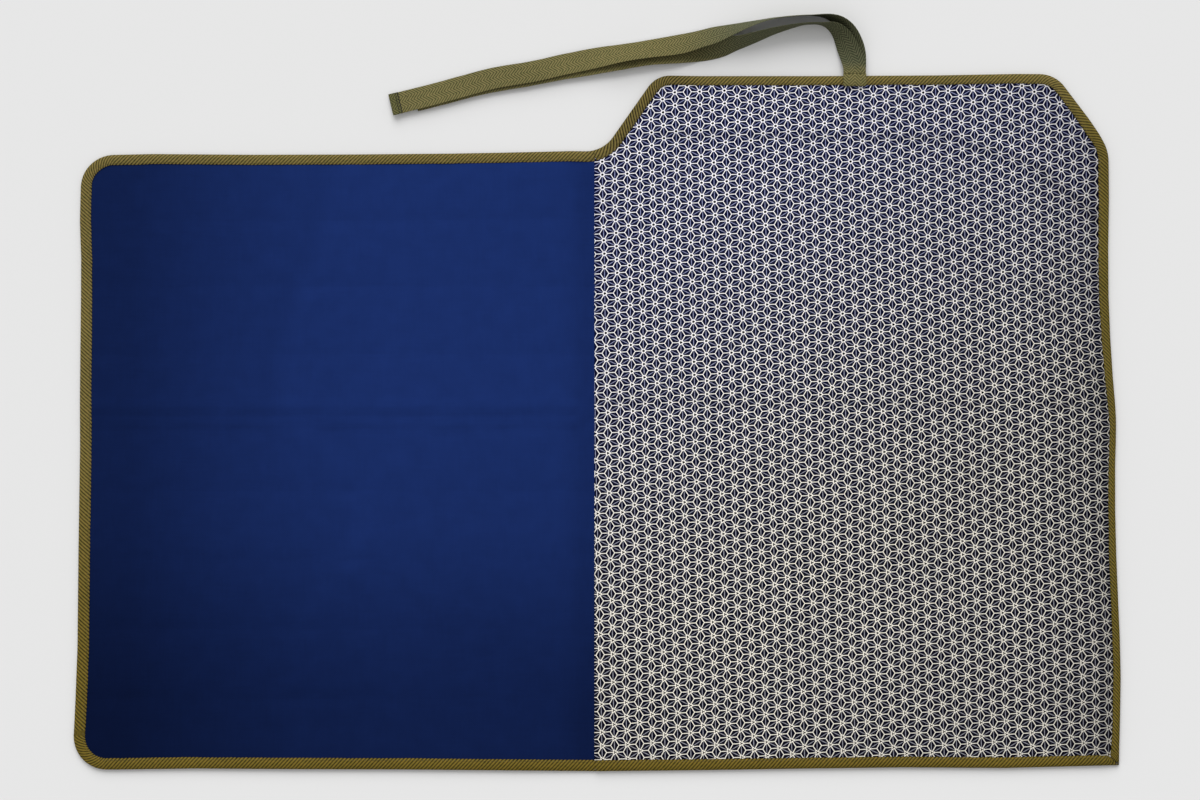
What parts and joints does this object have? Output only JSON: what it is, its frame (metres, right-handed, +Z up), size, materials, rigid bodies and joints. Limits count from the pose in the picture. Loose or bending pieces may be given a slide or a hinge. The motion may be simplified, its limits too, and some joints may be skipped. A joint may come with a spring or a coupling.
{
  "type": "brush roll case",
  "caption": "Cloth roll for long brushes: a row of slots behind a printed front, a plain cover leaf, a tab with two ties and taped edges.",
  "frame": {"origin": "middle of the open case's footprint, on the surface it lies on", "axes": "+X along the brushes from the cover to the slots' closed ends, +Y towards the tab, +Z up"},
  "size_m": [0.69, 0.5018, 0.0152],
  "materials": {
    "navy_canvas": "matte plain-weave cotton canvas",
    "printed_cotton": "matte printed cotton, off-white hemp-leaf lines on navy",
    "binding_tape": "herringbone twill tape",
    "tie_tape": "herringbone twill tape"
  },
  "bodies": {
    "tab": {"tab_canvas": "navy_canvas", "tab_facing": "printed_cotton", "tab_binding": "binding_tape", "tie_anchor": "tie_tape", "tie_inner": "tie_tape", "tie_outer": "tie_tape"},
    "slot_1": {"slot_canvas_1": "navy_canvas", "slot_front_1": "printed_cotton", "slot_binding_1": "binding_tape", "neck_binding": "binding_tape"},
    "cover_1": {"cover_canvas_1": "navy_canvas", "cover_binding_1": "binding_tape"},
    "slot_2": {"slot_canvas_2": "navy_canvas", "slot_front_2": "printed_cotton", "slot_binding_2": "binding_tape"},
    "cover_2": {"cover_canvas_2": "navy_canvas", "cover_binding_2": "binding_tape"},
    "slot_3": {"slot_canvas_3": "navy_canvas", "slot_front_3": "printed_cotton", "slot_binding_3": "binding_tape"},
    "cover_3": {"cover_canvas_3": "navy_canvas", "cover_binding_3": "binding_tape"},
    "slot_4": {"slot_canvas_4": "navy_canvas", "slot_front_4": "printed_cotton", "slot_binding_4": "binding_tape"},
    "cover_4": {"cover_canvas_4": "navy_canvas", "cover_binding_4": "binding_tape"},
    "slot_5": {"slot_canvas_5": "navy_canvas", "slot_front_5": "printed_cotton", "slot_binding_5": "binding_tape"},
    "cover_5": {"cover_canvas_5": "navy_canvas", "cover_binding_5": "binding_tape"},
    "slot_6": {"slot_canvas_6": "navy_canvas", "slot_front_6": "printed_cotton", "slot_binding_6": "binding_tape"},
    "cover_6": {"cover_canvas_6": "navy_canvas", "cover_binding_6": "binding_tape"},
    "slot_7": {"slot_canvas_7": "navy_canvas", "slot_front_7": "printed_cotton", "slot_binding_7": "binding_tape"},
    "cover_7": {"cover_canvas_7": "navy_canvas", "cover_binding_7": "binding_tape"},
    "slot_8": {"slot_canvas_8": "navy_canvas", "slot_front_8": "printed_cotton", "slot_binding_8": "binding_tape"},
    "cover_8": {"cover_canvas_8": "navy_canvas", "cover_binding_8": "binding_tape"},
    "slot_9": {"slot_canvas_9": "navy_canvas", "slot_front_9": "printed_cotton", "slot_binding_9": "binding_tape"},
    "cover_9": {"cover_canvas_9": "navy_canvas", "cover_binding_9": "binding_tape"}
  },
  "joints": [
    {"name": "roll_1", "type": "hinge", "parent": "tab", "child": "slot_1", "pos_m": [0, 0.191, 0.0016], "axis": [-1, 0, 0], "range_deg": [0, 40]},
    {"name": "roll_2", "type": "hinge", "parent": "slot_1", "child": "slot_2", "pos_m": [0, 0.13344, 0.0016], "axis": [-1, 0, 0], "range_deg": [0, 45]},
    {"name": "roll_3", "type": "hinge", "parent": "slot_2", "child": "slot_3", "pos_m": [0, 0.08789, 0.0016], "axis": [-1, 0, 0], "range_deg": [0, 50]},
    {"name": "roll_4", "type": "hinge", "parent": "slot_3", "child": "slot_4", "pos_m": [0, 0.04233, 0.0016], "axis": [-1, 0, 0], "range_deg": [0, 55]},
    {"name": "roll_5", "type": "hinge", "parent": "slot_4", "child": "slot_5", "pos_m": [0, -0.00322, 0.0016], "axis": [-1, 0, 0], "range_deg": [0, 60]},
    {"name": "roll_6", "type": "hinge", "parent": "slot_5", "child": "slot_6", "pos_m": [0, -0.04878, 0.0016], "axis": [-1, 0, 0], "range_deg": [0, 65]},
    {"name": "roll_7", "type": "hinge", "parent": "slot_6", "child": "slot_7", "pos_m": [0, -0.09433, 0.0016], "axis": [-1, 0, 0], "range_deg": [0, 70]},
    {"name": "roll_8", "type": "hinge", "parent": "slot_7", "child": "slot_8", "pos_m": [0, -0.13989, 0.0016], "axis": [-1, 0, 0], "range_deg": [0, 75]},
    {"name": "roll_9", "type": "hinge", "parent": "slot_8", "child": "slot_9", "pos_m": [0, -0.18544, 0.0016], "axis": [-1, 0, 0], "range_deg": [0, 80]},
    {"name": "cover_fold_1", "type": "hinge", "parent": "slot_1", "child": "cover_1", "pos_m": [-0.004, 0.15622, 0.003], "axis": [0, 1, 0], "range_deg": [0, 180]},
    {"name": "cover_fold_2", "type": "hinge", "parent": "slot_2", "child": "cover_2", "pos_m": [-0.004, 0.11067, 0.003], "axis": [0, 1, 0], "range_deg": [0, 180]},
    {"name": "cover_fold_3", "type": "hinge", "parent": "slot_3", "child": "cover_3", "pos_m": [-0.004, 0.06511, 0.003], "axis": [0, 1, 0], "range_deg": [0, 180]},
    {"name": "cover_fold_4", "type": "hinge", "parent": "slot_4", "child": "cover_4", "pos_m": [-0.004, 0.01956, 0.003], "axis": [0, 1, 0], "range_deg": [0, 180]},
    {"name": "cover_fold_5", "type": "hinge", "parent": "slot_5", "child": "cover_5", "pos_m": [-0.004, -0.026, 0.003], "axis": [0, 1, 0], "range_deg": [0, 180]},
    {"name": "cover_fold_6", "type": "hinge", "parent": "slot_6", "child": "cover_6", "pos_m": [-0.004, -0.07156, 0.003], "axis": [0, 1, 0], "range_deg": [0, 180]},
    {"name": "cover_fold_7", "type": "hinge", "parent": "slot_7", "child": "cover_7", "pos_m": [-0.004, -0.11711, 0.003], "axis": [0, 1, 0], "range_deg": [0, 180]},
    {"name": "cover_fold_8", "type": "hinge", "parent": "slot_8", "child": "cover_8", "pos_m": [-0.004, -0.16267, 0.003], "axis": [0, 1, 0], "range_deg": [0, 180]},
    {"name": "cover_fold_9", "type": "hinge", "parent": "slot_9", "child": "cover_9", "pos_m": [-0.004, -0.20822, 0.003], "axis": [0, 1, 0], "range_deg": [0, 180]}
  ],
  "couplings": [
    {"joint": "roll_2", "follows": "roll_1", "ratio": 1.125},
    {"joint": "roll_3", "follows": "roll_1", "ratio": 1.25},
    {"joint": "roll_4", "follows": "roll_1", "ratio": 1.375},
    {"joint": "roll_5", "follows": "roll_1", "ratio": 1.5},
    {"joint": "roll_6", "follows": "roll_1", "ratio": 1.625},
    {"joint": "roll_7", "follows": "roll_1", "ratio": 1.75},
    {"joint": "roll_8", "follows": "roll_1", "ratio": 1.875},
    {"joint": "roll_9", "follows": "roll_1", "ratio": 2},
    {"joint": "cover_fold_2", "follows": "cover_fold_1", "ratio": 1},
    {"joint": "cover_fold_3", "follows": "cover_fold_1", "ratio": 1},
    {"joint": "cover_fold_4", "follows": "cover_fold_1", "ratio": 1},
    {"joint": "cover_fold_5", "follows": "cover_fold_1", "ratio": 1},
    {"joint": "cover_fold_6", "follows": "cover_fold_1", "ratio": 1},
    {"joint": "cover_fold_7", "follows": "cover_fold_1", "ratio": 1},
    {"joint": "cover_fold_8", "follows": "cover_fold_1", "ratio": 1},
    {"joint": "cover_fold_9", "follows": "cover_fold_1", "ratio": 1}
  ]
}
